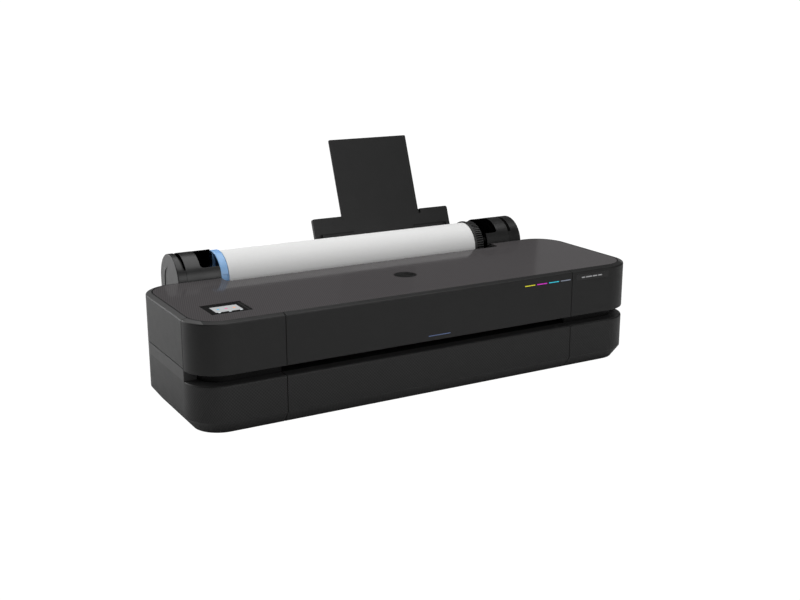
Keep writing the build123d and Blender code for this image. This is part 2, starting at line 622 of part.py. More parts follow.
def carriage():
    """Body that holds the printhead, slides on the rod and is clamped to the belt."""
    x0, x1 = CARRIAGE_X - CARRIAGE_W / 2, CARRIAGE_X + CARRIAGE_W / 2
    body = block(x0, x1, -42, 14, 118, 172) - block(x0 + 4, x1 - 4, -38, 10, 117, 168)
    lug = block(x0, x1, 13, 41, 136, 164) - rod_x(x0 - 1, x1 + 1, ROD_Y, ROD_Z, ROD_R + RUNNING)
    clamp = block(x0 + 20, x1 - 20, 40, 52, ROD_Z + PULLEY_R + 1.4, 163.5)
    return body + lug + clamp


def printhead():
    x0, x1 = CARRIAGE_X - 30, CARRIAGE_X + 30
    return block(x0, x1, -37.5, 9.5, 118, 150) + block(x0 + 6, x1 - 6, -30, 2, 108.5, 119)


def belt_loop(radius):
    """Stadium outline of the belt's path, as a solid of the belt's width."""
    ends = rod_y(-PULLEY_X, BELT_Y - 3, BELT_Y + 3, ROD_Z, radius)
    ends += rod_y(PULLEY_X, BELT_Y - 3, BELT_Y + 3, ROD_Z, radius)
    return ends + block(-PULLEY_X, PULLEY_X, BELT_Y - 3, BELT_Y + 3, ROD_Z - radius, ROD_Z + radius)


def carriage_belt():
    return belt_loop(PULLEY_R + 1.2) - belt_loop(PULLEY_R + 0.3)


def pulley(x, shaft_back):
    """Belt wheel with two flanges on a shaft along Y."""
    wheel = rod_y(x, BELT_Y - 3.6, BELT_Y + 3.6, ROD_Z, PULLEY_R)
    for y in (BELT_Y - 4.8, BELT_Y + 3.4):
        wheel += rod_y(x, y, y + 1.4, ROD_Z, PULLEY_R + 2.5)
    return wheel + rod_y(x, BELT_Y, shaft_back, ROD_Z, 2.5)


def carriage_motor():
    """Motor behind the drive pulley, on a plate that reaches the right frame plate."""
    can = rod_y(PULLEY_X - 6, 62, 106, ROD_Z, 21)
    plate = block(PULLEY_X, FRAME_X - 0.2, 62, 66, ROD_Z - 15, ROD_Z + 15)
    return can + plate - rod_y(PULLEY_X, 61, 74, ROD_Z, 2.5 + RUNNING)


def idler_axis_y():
    return FEED_Y - GEAR_MODULE * (FEED_TEETH + IDLER_TEETH) / 2


def exit_axis_y():
    return idler_axis_y() - GEAR_MODULE * (IDLER_TEETH + EXIT_TEETH) / 2


def pinion_axis_y():
    return FEED_Y + GEAR_MODULE * (FEED_TEETH + PINION_TEETH) / 2


def feed_roller():
    """Grit-coated feed shaft; its thin ends run in the frame and the left one carries the drive gear."""
    shaft = rod_x(-440, 440, FEED_Y, FEED_Z, FEED_R) + rod_x(GEAR_X[0], FRAME_X + 2, FEED_Y, FEED_Z, 5)
    return shaft + gear(FEED_TEETH, *GEAR_X, FEED_Y, FEED_Z, 0)


def idler_gear():
    wheel = gear(IDLER_TEETH, *GEAR_X, idler_axis_y(), FEED_Z, math.pi / IDLER_TEETH)
    return wheel - rod_x(GEAR_X[0] - 1, GEAR_X[1] + 1, idler_axis_y(), FEED_Z, 3 + RUNNING)


def exit_roller():
    """Driven output shaft with rubber tyres along it and its gear moulded on the left end."""
    y = exit_axis_y()
    shaft = rod_x(GEAR_X[0], FRAME_X + 2, y, FEED_Z, 4)
    for index in range(11):
        x = -300 + 60 * index
        shaft += rod_x(x - 8, x + 8, y, FEED_Z, EXIT_R)
    return shaft + gear(EXIT_TEETH, *GEAR_X, y, FEED_Z, math.pi / EXIT_TEETH)


def feed_motor():
    can = rod_x(-FRAME_X + 0.5, -412, pinion_axis_y(), FEED_Z, 17)
    return can - rod_x(-FRAME_X, -449, pinion_axis_y(), FEED_Z, 2.5 + RUNNING)


def feed_pinion():
    wheel = gear(PINION_TEETH, *GEAR_X, pinion_axis_y(), FEED_Z, math.pi / PINION_TEETH)
    return wheel + rod_x(GEAR_X[0], -451, pinion_axis_y(), FEED_Z, 2.5)


def pinch_rollers():
    """Shaft of free-running rollers that press the paper on the feed roller."""
    z = FEED_Z + FEED_R + PINCH_R + 0.3
    shaft = rod_x(-312, 312, FEED_Y, z, 2)
    for index in range(6):
        x = -250 + 100 * index
        shaft += rod_x(x - 14, x + 14, FEED_Y, z, PINCH_R)
    return shaft


def paper_guide():
    """Channel that leads the paper to the feed roller, with arms that hold the pinch rollers."""
    guide = block(-321, 321, 42, 112, 104, 106) + block(-321, 321, 34, 112, 119, 121)
    for side in (-1, 1):
        guide += block(side * 318, side * 321, 42, 112, 104, 121)
        guide += block(side * 318, side * FRAME_X, 100, 112, 104, 106)
    for index in range(7):
        x = -300 + 100 * index
        guide += block(x - 3, x + 3, 21, 36, 110.5, 121)
    return guide - rod_x(-400, 400, FEED_Y, FEED_Z + FEED_R + PINCH_R + 0.3, 2 + RUNNING)


def platen():
    """Ribbed table under the printhead."""
    table = block(-330, 330, -58, 8, 98, 103)
    for index in range(23):
        x = -319 + 29 * index
        table += block(x - 1, x + 1, -56, 6, 102.5, PLATEN_TOP)
    lip = block(-330, 330, -132, -88, 92, 95)
    link = block(-330, 330, -58, -54, 84, 99) + block(-FRAME_X, FRAME_X, -92, -54, 84, 86)
    return table + lip + link + block(-330, 330, -92, -90, 84, 95)


def cutter_carriage():
    """Block that runs along the rail with a round blade held under it."""
    x0, x1 = CUTTER_X - 16, CUTTER_X + 16
    body = block(x0, x1, CUTTER_Y - 9, CUTTER_Y + 9, 110, 124)
    slot = rod_y(CUTTER_X, CUTTER_Y - 6, CUTTER_Y - 2, 108, 7.6)
    blade = rod_y(CUTTER_X, CUTTER_Y - 4.5, CUTTER_Y - 3.5, 108, 7)
    return body - slot + blade + rod_y(CUTTER_X, CUTTER_Y - 7, CUTTER_Y - 1, 112, 1.5)


# ---------------------------------------------------------------- ink system and electronics
def cartridge(index):
    x = CARTRIDGE_X + MARK_PITCH * index
    x0, x1 = x - CARTRIDGE_W / 2, x + CARTRIDGE_W / 2
    body = block(x0, x1, -146, -66, 133, 192)
    body = fillet(body.edges().filter_by(Axis.X).sort_by(Axis.Y)[:2], 3)
    return body + block(x0 + 6, x1 - 6, -150, -145.5, 176, 186)


def ink_bay():
    """Open-fronted rack with a cell for each cartridge."""
    x0 = CARTRIDGE_X - MARK_PITCH / 2
    x1 = x0 + 4 * MARK_PITCH
    bay = block(x0 - 1, x1 + 1, -140, -55, 128, 198)
    for index in range(4):
        x = CARTRIDGE_X + MARK_PITCH * index
        half = CARTRIDGE_W / 2 + 1
        bay -= block(x - half, x + half, -141, -58, 132, 194)
    return bay


def service_station():
    x0, x1 = CARRIAGE_X - 32, CARRIAGE_X + 32
    tub = block(x0, x1, -50, 8, FOOT_H + 3, 100) - block(x0 + 3, x1 - 3, -47, 5, 60, 101)
    return tub + block(x0 + 8, x1 - 8, -34, 4, 59, 106.5)


def mainboard():
    board = block(-300, -60, 20, 130, 24, 25.6)
    chips = [(-260, 60), (-200, 90), (-140, 50)]
    for x, y in chips:
        board += block(x - 12, x + 12, y - 12, y + 12, 25, 29)
    for x in (-290, -70):
        for y in (28, 122):
            board += rod_z(x, y, FOOT_H + 3, 24.5, 3)
    return board


def power_supply():
    return block(-440, -330, 60, 138, FOOT_H + 3, 48)


def ink_tubes():
    """Four tubes from the back of the ink bay to the clip in the middle of the beam."""
    z = 203.0
    tubes = []
    for index in range(4):
        y = 30 + 6 * index
        x = CARTRIDGE_X + MARK_PITCH * index
        path = FilletPolyline((x, -56, z), (x, y, z), (TUBE_CLIP_X, y, z), radius=20)
        section = Plane(origin=path @ 0, z_dir=path % 0) * Circle(2)
        tubes.append(sweep(section, path=path))
    return tubes


def cover_screws():
    """Identical pan-head screws that hold the base pan."""
    return [rod_z(x, y, 1.0, FOOT_H, 4) + rod_z(x, y, FOOT_H, 7.5, SCREW_R) for x, y in SCREW_SPOTS]


# ---------------------------------------------------------------- nodes
def all_nodes():
    lower_left, lower_front, lower_right = lower_covers()
    nodes = {
        "base_pan": base_pan(),
        "rubber_feet": rubber_feet(),
        "lower_left_cover": lower_left,
        "lower_front_panel": lower_front,
        "lower_right_cover": lower_right,
        "slot_liners": slot_liners(),
        "upper_left_cover": upper_cover(-1),
        "upper_right_cover": upper_cover(1),
        "front_door": front_door(),
        "left_side_panel": side_panel(-1),
        "right_side_panel": side_panel(1),
        "rear_panel": rear_panel(),
        "top_cover": top_cover(),
        "rear_housing": rear_housing(),
        "display_bezel": display_bezel(),
        "display_screen": display_screen(),
        "power_button": power_button(),
        "rear_sockets": rear_sockets(),
        "roll_housing_left": roll_housing(LEFT_INNER_X, LEFT_CAP_X, LEFT_OPENING_X),
        "roll_housing_right": roll_housing(RIGHT_INNER_X, RIGHT_CAP_X, RIGHT_OPENING_X),
        "roll_cap_left": roll_cap(LEFT_OUTER_X, LEFT_CAP_X),
        "roll_cap_right": roll_cap(RIGHT_OUTER_X, RIGHT_CAP_X),
        "spindle_bearings": spindle_bearings(),
        "spindle_shaft": spindle_shaft(),
        "roll_core": roll_core(),
        "paper_roll": paper_roll(),
        "collar_left": collar_left(),
        "flange_right": flange_right(),
        "tray_panel": tray_panel(),
        "tray_extension": tray_extension(),
        "sheet_guide_left": sheet_guide(-1),
        "sheet_guide_right": sheet_guide(1),
        "print_frame": print_frame(),
        "carriage_beam": carriage_beam(),
        "carriage_rod": carriage_rod(),
        "carriage": carriage(),
        "printhead": printhead(),
        "carriage_belt": carriage_belt(),
        "drive_pulley": pulley(PULLEY_X, 72),
        "idler_pulley": pulley(-PULLEY_X, 63),
        "carriage_motor": carriage_motor(),
        "feed_roller": feed_roller(),
        "idler_gear": idler_gear(),
        "exit_roller": exit_roller(),
        "paper_guide": paper_guide(),
        "feed_motor": feed_motor(),
        "feed_pinion": feed_pinion(),
        "pinch_rollers": pinch_rollers(),
        "platen": platen(),
        "cutter_carriage": cutter_carriage(),
        "ink_bay": ink_bay(),
        "service_station": service_station(),
        "mainboard": mainboard(),
        "power_supply": power_supply(),
        "ink_tubes": ink_tubes(),
        "cover_screws": cover_screws(),
    }
    for index, colour in enumerate(("yellow", "magenta", "cyan", "black")):
        nodes[f"cartridge_{colour}"] = cartridge(index)
    return nodes


def main():
    os.makedirs("parts", exist_ok=True)
    for name, shape in all_nodes().items():
        solids = shape if isinstance(shape, list) else [shape]
        pieces = [solid for item in solids for solid in item.solids()]
        export_step(Compound(children=pieces), f"parts/{name}.step")


if __name__ == "__main__":
    main()
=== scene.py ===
"""Looks of a desktop 24-inch roll-fed plotter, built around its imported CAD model.

Metres, in the CAD frame: origin on the floor under the middle of the body, front towards -Y.
"""
import math

import bmesh
import bpy
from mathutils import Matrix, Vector


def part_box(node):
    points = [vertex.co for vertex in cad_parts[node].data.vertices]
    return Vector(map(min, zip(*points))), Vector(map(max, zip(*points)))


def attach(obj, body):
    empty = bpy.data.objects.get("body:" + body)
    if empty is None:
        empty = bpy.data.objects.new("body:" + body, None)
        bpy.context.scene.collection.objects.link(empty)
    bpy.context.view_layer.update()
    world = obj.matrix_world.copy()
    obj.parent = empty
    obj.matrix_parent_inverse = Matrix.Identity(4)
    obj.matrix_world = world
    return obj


MM = 0.001
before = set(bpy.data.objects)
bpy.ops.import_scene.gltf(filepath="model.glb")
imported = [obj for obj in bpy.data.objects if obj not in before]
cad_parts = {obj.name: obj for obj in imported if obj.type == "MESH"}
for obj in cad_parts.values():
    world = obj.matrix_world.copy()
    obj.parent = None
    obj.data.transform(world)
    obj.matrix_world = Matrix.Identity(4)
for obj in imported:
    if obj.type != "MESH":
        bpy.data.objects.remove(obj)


def box_mm(node):
    """The lowest and highest corners of a CAD node, in millimetres."""
    low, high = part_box(node)
    return low / MM, high / MM


# ---------------------------------------------------------------- places, in mm
DOOR_FRONT = box_mm("front_door")[0].y
TOP = box_mm("top_cover")[1].z
LEDGE_PAINTED_LIGHT = 97.2                # just under the ledge of the lower covers; above it they are painted paler as light
BODY_HALF = (504.5, 163.4)  # half the body's width and depth
BODY_CORNER = 70.0          # radius of the body's corners
RIM_DROP = 3.4              # the rim lies above this depth under the top
RIM_HIGHLIGHT_SIDES = 25.0            # the paler stretches of the rim, a painted highlight, lie this near to the body's sides
RIM_GAP_PAINTED_SHADE = (-12.8, -11.0)    # the gap round the top cover, inwards from the body's outline, painted black as shade
FRONT_SEAM = (327.8, 329.2, 126.5)  # x from and to, and lowest z, of the seams beside the door
SIDE_SEAM = (-99.4, -98.0, 123.0)   # y from and to, and lowest z, of the seams beside the side panels
SEAM_TOP = 4.0              # the seams' strips end this far under the top

ROLL_AXIS = [(low + high) / 2 for low, high in zip(*box_mm("roll_core"))][1:]  # y and z
HOUSING_SKIN = 56.3         # nearer to the roll's axis than this, a housing's walls face inwards; there they are painted black as shade
CAP_GROOVES = ((-405.4, -397.0), (399.0, 407.4))  # x of the grooves in the two end caps, painted black as shade
COLLAR_FLOOR = (-317.0, -314.0)  # x of the bottom of the collar's dish, painted deep blue as shade
COLLAR_DISH = 52.0          # radius of the dish
WHEEL_GAPS = (50.0, 52.5)   # from the roll's axis to the gaps between the hand wheel's ribs, painted black as shade

TRAY_EDGE = (313.4, 283.0)  # y and z of the upper edge of the tray's face
TRAY_LEAN = 20.2            # degrees
GUIDE_GROOVE = (-40.5, -36.5)  # dark edge of the sheet guides, painted black as shade, measured up the tray's face

TOP_LATTICE = (4.0, 13.0)   # pitches of the top cover's diamonds, along x and y
SIDE_LATTICE = (6.4, 6.4)   # pitches of the lower covers' diamonds, along the outline and up

# ---------------------------------------------------------------- camera
CAMERA_PLACE = (-1.1286, -1.9663, 0.7681)  # metres
CAMERA_DOWN = 15.01         # degrees below level
CAMERA_TURN = -29.963       # degrees about Z
CAMERA_LENS = 50.55
CAMERA_SENSOR = 36.0

# ---------------------------------------------------------------- inks, in order from the left
INK_COLOURS = {
    "yellow": (0.80, 0.76, 0.02),
    "magenta": (0.72, 0.02, 0.62),
    "cyan": (0.02, 0.62, 0.78),
    "black": (0.24, 0.27, 0.34),
}


# ---------------------------------------------------------------- node graphs
class Finish:
    """One material and its node tree, with short calls for the nodes that the finishes share."""

    def __init__(self, name, **settings):
        self.material = bpy.data.materials.new(name)
        self.material.use_nodes = True
        self.tree = self.material.node_tree
        self.shader = self.tree.nodes["Principled BSDF"]
        for socket, value in settings.items():
            self.shader.inputs[socket.replace("_", " ")].default_value = value
        self.place = self.add("ShaderNodeTexCoord").outputs["Object"]

    def add(self, kind, **attributes):
        node = self.tree.nodes.new(kind)
        for key, value in attributes.items():
            setattr(node, key, value)
        return node

    def feed(self, socket, source):
        """Sets a socket to a number, a colour or the output of another node."""
        if isinstance(source, bpy.types.NodeSocket):
            self.tree.links.new(source, socket)
        else:
            socket.default_value = source

    def math(self, operation, first, second=0.0):
        node = self.add("ShaderNodeMath", operation=operation)
        self.feed(node.inputs[0], first)
        self.feed(node.inputs[1], second)
        return node.outputs[0]

    def axes(self):
        """The x, y and z of the point, in the object's own frame."""
        split = self.add("ShaderNodeSeparateXYZ")
        self.feed(split.inputs[0], self.place)
        return split.outputs

    def noise(self, size_mm, detail=2.0, stretch=(1, 1, 1)):
        """Soft noise with blotches about size_mm across, longer along an axis whose stretch is above 1."""
        scaled = self.add("ShaderNodeMapping", vector_type="POINT")
        self.feed(scaled.inputs["Vector"], self.place)
        scaled.inputs["Scale"].default_value = [1 / (size_mm * MM * s) for s in stretch]
        noise = self.add("ShaderNodeTexNoise")
        self.feed(noise.inputs["Vector"], scaled.outputs[0])
        noise.inputs["Scale"].default_value = 1.0
        noise.inputs["Detail"].default_value = detail
        return noise.outputs["Fac"]

    def wave(self, position, pitch_mm):
        """A sine along a position in metres, from -1 to 1."""
        return self.math("SINE", self.math("MULTIPLY", position, 2 * math.pi / (pitch_mm * MM)))

    def lattice(self, across, along, pitch_across, pitch_along):
        """A field of staggered bumps and hollows with these pitches in millimetres, from -1 to 1."""
        return self.math("MULTIPLY", self.wave(across, pitch_across), self.wave(along, pitch_along))

    def spread(self, value, low, high, from_low=0.3, from_high=0.7):
        """Maps a texture's useful range onto low..high."""
        node = self.add("ShaderNodeMapRange")
        self.feed(node.inputs["Value"], value)
        node.inputs["From Min"].default_value = from_low
        node.inputs["From Max"].default_value = from_high
        node.inputs["To Min"].default_value = low
        node.inputs["To Max"].default_value = high
        return node.outputs["Result"]

    def blend(self, factor, first, second):
        """A colour between two colours."""
        node = self.add("ShaderNodeMix", data_type="RGBA")
        self.feed(node.inputs["Factor"], factor)
        self.feed(node.inputs["A"], colour(first))
        self.feed(node.inputs["B"], colour(second))
        return node.outputs["Result"]

    def between(self, value, low, high):
        """1 where a place in metres lies between two limits in millimetres, 0 elsewhere."""
        above = self.math("GREATER_THAN", value, low * MM)
        below = self.math("LESS_THAN", value, high * MM)
        return self.math("MULTIPLY", above, below)

    def roll_distance(self, arched=True):
        """Distance from the roll's axis, in metres. Arched: below the axis only the depth counts."""
        _, y, z = self.axes()
        off_y = self.math("SUBTRACT", y, ROLL_AXIS[0] * MM)
        off_z = self.math("SUBTRACT", z, ROLL_AXIS[1] * MM)
        if arched:
            off_z = self.math("MAXIMUM", off_z, 0.0)
        squares = self.math("ADD", self.math("POWER", off_y, 2.0), self.math("POWER", off_z, 2.0))
        return self.math("SQRT", squares)

    def paint(self, source):
        self.feed(self.shader.inputs["Base Color"], source)

    def roughen(self, source):
        self.feed(self.shader.inputs["Roughness"], source)

    def emboss(self, height, depth_mm, below=None):
        """Bump whose full height is depth_mm, over another bump if one is given."""
        bump = self.add("ShaderNodeBump")
        bump.inputs["Distance"].default_value = depth_mm * MM
        self.feed(bump.inputs["Height"], height)
        if below is not None:
            self.feed(bump.inputs["Normal"], below)
        return bump.outputs["Normal"]

    def shape(self, normal):
        self.feed(self.shader.inputs["Normal"], normal)


def colour(value):
    """An RGBA colour from a grey, three numbers, or the output of a node."""
    if isinstance(value, bpy.types.NodeSocket):
        return value
    if isinstance(value, (int, float)):
        value = (value, value, value)
    return (*value, 1.0)


# ---------------------------------------------------------------- finishes
def moulded(name, dark, light, rough=(0.45, 0.48), grain=0.9, depth=0.012, level=0.5):
    """Spark-textured moulding: a fine grain, faint flow marks and uneven sheen."""
    finish = Finish(name, Specular_IOR_Level=level)
    finish.paint(finish.blend(finish.spread(finish.noise(55, 3), 0, 1), dark, light))
    finish.roughen(finish.spread(finish.noise(24, 4), *rough))
    finish.shape(finish.emboss(finish.noise(grain, 2), depth))
    return finish.material


def rim_painted_light_and_shade(name, dark, light):
    """The side and corner covers: moulding with a painted highlight, a paler rim, at the sides, and painted
    shade, a black gap, inside the rim.
    """
    finish = Finish(name, Specular_IOR_Level=0.27)
    x, y, z = finish.axes()
    squares = []
    for axis, half in zip((x, y), BODY_HALF):
        past = finish.math("SUBTRACT", finish.math("ABSOLUTE", axis), (half - BODY_CORNER) * MM)
        squares.append(finish.math("POWER", finish.math("MAXIMUM", past, 0.0), 2.0))
    inset = finish.math("SUBTRACT", finish.math("SQRT", finish.math("ADD", *squares)), BODY_CORNER * MM)
    upper = finish.math("GREATER_THAN", z, (TOP - RIM_DROP) * MM)
    side = finish.math("GREATER_THAN", finish.math("ABSOLUTE", x), (BODY_HALF[0] - RIM_HIGHLIGHT_SIDES) * MM)
    # painted shade: black in the gap round the top cover
    gap = finish.math("MULTIPLY", upper, finish.between(inset, *RIM_GAP_PAINTED_SHADE))
    outer = finish.blend(finish.spread(finish.noise(55, 3), 0, 1), dark, light)
    # painted highlight: a pale rim near the body's sides, above the rim's depth
    rim = finish.blend(finish.math("MULTIPLY", upper, side), outer, 0.075)
    finish.paint(finish.blend(gap, rim, 0.0015))
    finish.roughen(finish.spread(finish.noise(24, 4), 0.45, 0.48))
    finish.shape(finish.emboss(finish.noise(0.9, 2), 0.012))
    return finish.material


def inner_painted_shade(name, dark, light, limits, rough=(0.30, 0.36)):
    """Satin moulding with painted shade in hollows: black, and without sheen, between two distances from
    the roll's axis.
    """
    finish = Finish(name)
    # painted shade: black and without sheen in the hollows
    shade = finish.between(finish.roll_distance(), *limits)
    outer = finish.blend(finish.spread(finish.noise(55, 3), 0, 1), dark, light)
    finish.paint(finish.blend(shade, outer, 0.0015))
    level = finish.math("MULTIPLY", finish.math("SUBTRACT", 1.0, shade), 0.45)
    finish.feed(finish.shader.inputs["Specular IOR Level"], level)
    finish.roughen(finish.spread(finish.noise(24, 4), *rough))
    finish.shape(finish.emboss(finish.noise(0.9, 2), 0.012))
    return finish.material


def cap_moulding(name, dark, light):
    """The housings' end caps: painted shade, black, in the groove beside the housing; satin elsewhere."""
    finish = Finish(name, Specular_IOR_Level=0.4)
    x, _, _ = finish.axes()
    beside = finish.math("ADD", *[finish.between(x, *limits) for limits in CAP_GROOVES])
    deep = finish.math("LESS_THAN", finish.roll_distance(), HOUSING_SKIN * MM)
    outer = finish.blend(finish.spread(finish.noise(55, 3), 0, 1), dark, light)
    # painted shade: black deep in the grooves beside the housings
    finish.paint(finish.blend(finish.math("MULTIPLY", beside, deep), outer, 0.0015))
    finish.roughen(finish.spread(finish.noise(24, 4), 0.30, 0.36))
    finish.shape(finish.emboss(finish.noise(0.9, 2), 0.012))
    return finish.material


def guide_moulding(name, dark, light):
    """The sheet guides: a moulded plate whose thinner upper edge is painted black as shade in a groove."""
    finish = Finish(name, Specular_IOR_Level=0.3)
    _, y, z = finish.axes()
    lean = math.radians(TRAY_LEAN)
    along_y = finish.math("MULTIPLY", finish.math("SUBTRACT", y, TRAY_EDGE[0] * MM), math.sin(lean))
    along_z = finish.math("MULTIPLY", finish.math("SUBTRACT", z, TRAY_EDGE[1] * MM), math.cos(lean))
    height = finish.math("ADD", along_y, along_z)
    # painted shade: black along the guide's thinner upper edge
    painted_groove_shade = finish.between(height, *GUIDE_GROOVE)
    outer = finish.blend(finish.spread(finish.noise(30, 3), 0, 1), dark, light)
    finish.paint(finish.blend(painted_groove_shade, outer, 0.001))
    finish.roughen(finish.spread(finish.noise(24, 4), 0.45, 0.55))
    finish.shape(finish.emboss(finish.noise(1.2, 2), 0.02))
    return finish.material


def collar_plastic(name, rim, dish_shade):
    """The blue collar: bright on its rim and spokes, with painted shade, deep blue, at the bottom of its
    dish.
    """
    finish = Finish(name, Specular_IOR_Level=0.5)
    x, _, _ = finish.axes()
    floor = finish.between(x, *COLLAR_FLOOR)
    dished = finish.math("LESS_THAN", finish.roll_distance(), COLLAR_DISH * MM)
    dimmer = tuple(0.92 * c for c in rim)
    outer = finish.blend(finish.spread(finish.noise(14, 3), 0, 1), dimmer, rim)
    # painted shade: deep blue at the bottom of the dish
    finish.paint(finish.blend(finish.math("MULTIPLY", floor, dished), outer, dish_shade))
    finish.roughen(finish.spread(finish.noise(10, 4), 0.32, 0.40))
    finish.shape(finish.emboss(finish.noise(0.8, 2), 0.012))
    return finish.material


def lattice_moulded(name, side, dark, light):
    """The lower covers: a slanting lattice that runs round one front corner.

    Above the ledge's height they are plain and painted paler, as painted light: the ledge in front and the
    top band of the sides.
    """
    finish = Finish(name, Specular_IOR_Level=0.3)
    x, y, z = finish.axes()
    round_corner = finish.math("ADD", x, finish.math("MULTIPLY", y, side))
    diamonds = finish.lattice(round_corner, z, *SIDE_LATTICE)
    share = finish.spread(diamonds, 0, 1, -1, 1)
    # painted light: paler above the ledge's height
    painted_ledge_light = finish.math("GREATER_THAN", z, LEDGE_PAINTED_LIGHT * MM)
    finish.paint(finish.blend(painted_ledge_light, finish.blend(share, dark, light), 0.035))
    finish.roughen(finish.spread(finish.noise(20, 3), 0.47, 0.50))
    grain = finish.emboss(finish.noise(0.9, 2), 0.012)
    finish.shape(finish.emboss(diamonds, 0.03, grain))
    return finish.material


def top_plate(name, dark, light):
    """The top cover: a close field of small diamonds, in colour only, under a smooth glossy skin."""
    finish = Finish(name, Specular_IOR_Level=0.02)
    x, y, _ = finish.axes()
    diamonds = finish.lattice(x, y, *TOP_LATTICE)
    share = finish.spread(diamonds, 0, 1, -1, 1)
    finish.paint(finish.blend(share, dark, light))
    finish.roughen(finish.spread(finish.noise(18, 3), 0.07, 0.10))
    finish.shape(finish.emboss(finish.noise(0.8, 2), 0.003))
    return finish.material


def gloss(name, tone):
    """Polished dark plastic or glass with faint smears in its gloss."""
    finish = Finish(name, Specular_IOR_Level=0.08)
    finish.paint(finish.blend(finish.spread(finish.noise(30, 3), 0, 1), tone, tone * 1.35))
    finish.roughen(finish.spread(finish.noise(9, 5), 0.05, 0.12))
    return finish.material


def lit_screen(name):
    """The display's lit panel, slightly uneven, with a fine grid of dots."""
    finish = Finish(name, Roughness=0.25, Emission_Strength=0.36)
    x, y, _ = finish.axes()
    glow = finish.spread(finish.noise(30, 1), 0, 1)
    finish.paint(finish.blend(glow, 0.20, 0.24))
    grid = finish.math("MULTIPLY", finish.wave(x, 0.4), finish.wave(y, 0.4))
    tint = finish.blend(finish.spread(grid, 0, 1, -1, 1), (0.86, 0.90, 0.93), (0.93, 0.95, 0.96))
    finish.feed(finish.shader.inputs["Emission Color"], tint)
    return finish.material


def paper(name):
    """White bond paper: faint fibres, and the edges of its turns as rings on the roll's ends."""
    finish = Finish(name, Specular_IOR_Level=0.2)
    turns = finish.spread(finish.wave(finish.roll_distance(arched=False), 0.8), 0.0, 0.35, -1, 1)
    fibres = finish.spread(finish.noise(2.5, 4, (3, 1, 1)), 0.0, 0.25)
    shade = finish.math("ADD", turns, fibres)
    finish.paint(finish.blend(shade, (0.88, 0.88, 0.875), (0.80, 0.80, 0.79)))
    finish.roughen(finish.spread(finish.noise(1.5, 3), 0.62, 0.75))
    finish.shape(finish.emboss(turns, 0.05, finish.emboss(fibres, 0.02)))
    return finish.material


def card(name):
    """Brown board of the roll's core, wound on a slant."""
    finish = Finish(name, Specular_IOR_Level=0.2)
    x, y, _ = finish.axes()
    seams = finish.wave(finish.math("ADD", x, y), 42)
    fibres = finish.noise(1.2, 5, (4, 1, 1))
    mixed = finish.math("MULTIPLY", finish.spread(seams, 0.7, 1.0, -1, 1), finish.spread(fibres, 0.5, 1))
    finish.paint(finish.blend(mixed, (0.24, 0.15, 0.08), (0.46, 0.33, 0.20)))
    finish.roughen(finish.spread(fibres, 0.75, 0.9))
    finish.shape(finish.emboss(fibres, 0.06))
    return finish.material


def metal(name, dark, light, rough, stretch=(40, 1, 1)):
    """Drawn or ground metal: long fine scratches and a little unevenness."""
    finish = Finish(name, Metallic=1.0)
    scratches = finish.noise(0.5, 3, stretch)
    finish.paint(finish.blend(finish.spread(finish.noise(30, 3), 0, 1), dark, light))
    finish.roughen(finish.spread(scratches, *rough))
    finish.shape(finish.emboss(scratches, 0.006))
    return finish.material


def rubber(name):
    finish = Finish(name, Specular_IOR_Level=0.3)
    finish.paint(finish.blend(finish.spread(finish.noise(8, 4), 0, 1), 0.010, 0.022))
    finish.roughen(finish.spread(finish.noise(4, 3), 0.7, 0.85))
    finish.shape(finish.emboss(finish.noise(0.6, 3), 0.05))
    return finish.material


def grit(name):
    """Ceramic-coated feed roller: a hard sandy skin on steel."""
    finish = Finish(name, Metallic=0.35, Specular_IOR_Level=0.4)
    grains = finish.noise(0.35, 2)
    finish.paint(finish.blend(finish.spread(grains, 0, 1), 0.16, 0.34))
    finish.roughen(finish.spread(grains, 0.5, 0.7))
    finish.shape(finish.emboss(grains, 0.08))
    return finish.material


def circuit_board(name):
    """Green lacquer over copper tracks that run at right angles."""
    finish = Finish(name, Specular_IOR_Level=0.5)
    x, y, _ = finish.axes()
    bricks = finish.add("ShaderNodeTexBrick")
    finish.feed(bricks.inputs["Vector"], finish.place)
    bricks.inputs["Scale"].default_value = 90.0
    bricks.inputs["Mortar Size"].default_value = 0.035
    tracks = finish.math("GREATER_THAN", finish.wave(finish.math("ADD", x, y), 2.4), 0.5)
    mask = finish.math("MAXIMUM", tracks, bricks.outputs["Fac"])
    finish.paint(finish.blend(mask, (0.008, 0.075, 0.035), (0.03, 0.16, 0.07)))
    finish.roughen(finish.spread(finish.noise(6, 3), 0.25, 0.4))
    finish.shape(finish.emboss(mask, 0.03))
    return finish.material


def tinted(name, base, rough=(0.3, 0.4)):
    """Plain coloured moulding with slight variation, for cartridges, gears and print."""
    finish = Finish(name, Specular_IOR_Level=0.5)
    darker = tuple(0.86 * c for c in base)
    finish.paint(finish.blend(finish.spread(finish.noise(14, 3), 0, 1), darker, base))
    finish.roughen(finish.spread(finish.noise(10, 4), *rough))
    finish.shape(finish.emboss(finish.noise(0.8, 2), 0.012))
    return finish.material


def clear_tube(name):
    """Milky flexible tube."""
    finish = Finish(name, Specular_IOR_Level=0.5)
    share = finish.spread(finish.noise(12, 3), 0, 1)
    finish.paint(finish.blend(share, (0.42, 0.44, 0.45), (0.56, 0.58, 0.58)))
    finish.roughen(finish.spread(finish.noise(5, 3), 0.15, 0.3))
    return finish.material


def glowing(name, tone, strength):
    """A small lit or printed patch on the display or the door, a little uneven. On a printed patch its glow
    is painted light.
    """
    finish = Finish(name, Emission_Strength=strength)
    share = finish.spread(finish.noise(3, 2), 0, 1)
    dimmer = tuple(0.85 * c for c in tone)
    finish.paint(finish.blend(share, dimmer, tone))
    finish.feed(finish.shader.inputs["Emission Color"], finish.blend(share, dimmer, tone))
    finish.roughen(finish.spread(finish.noise(2, 2), 0.3, 0.4))
    return finish.material


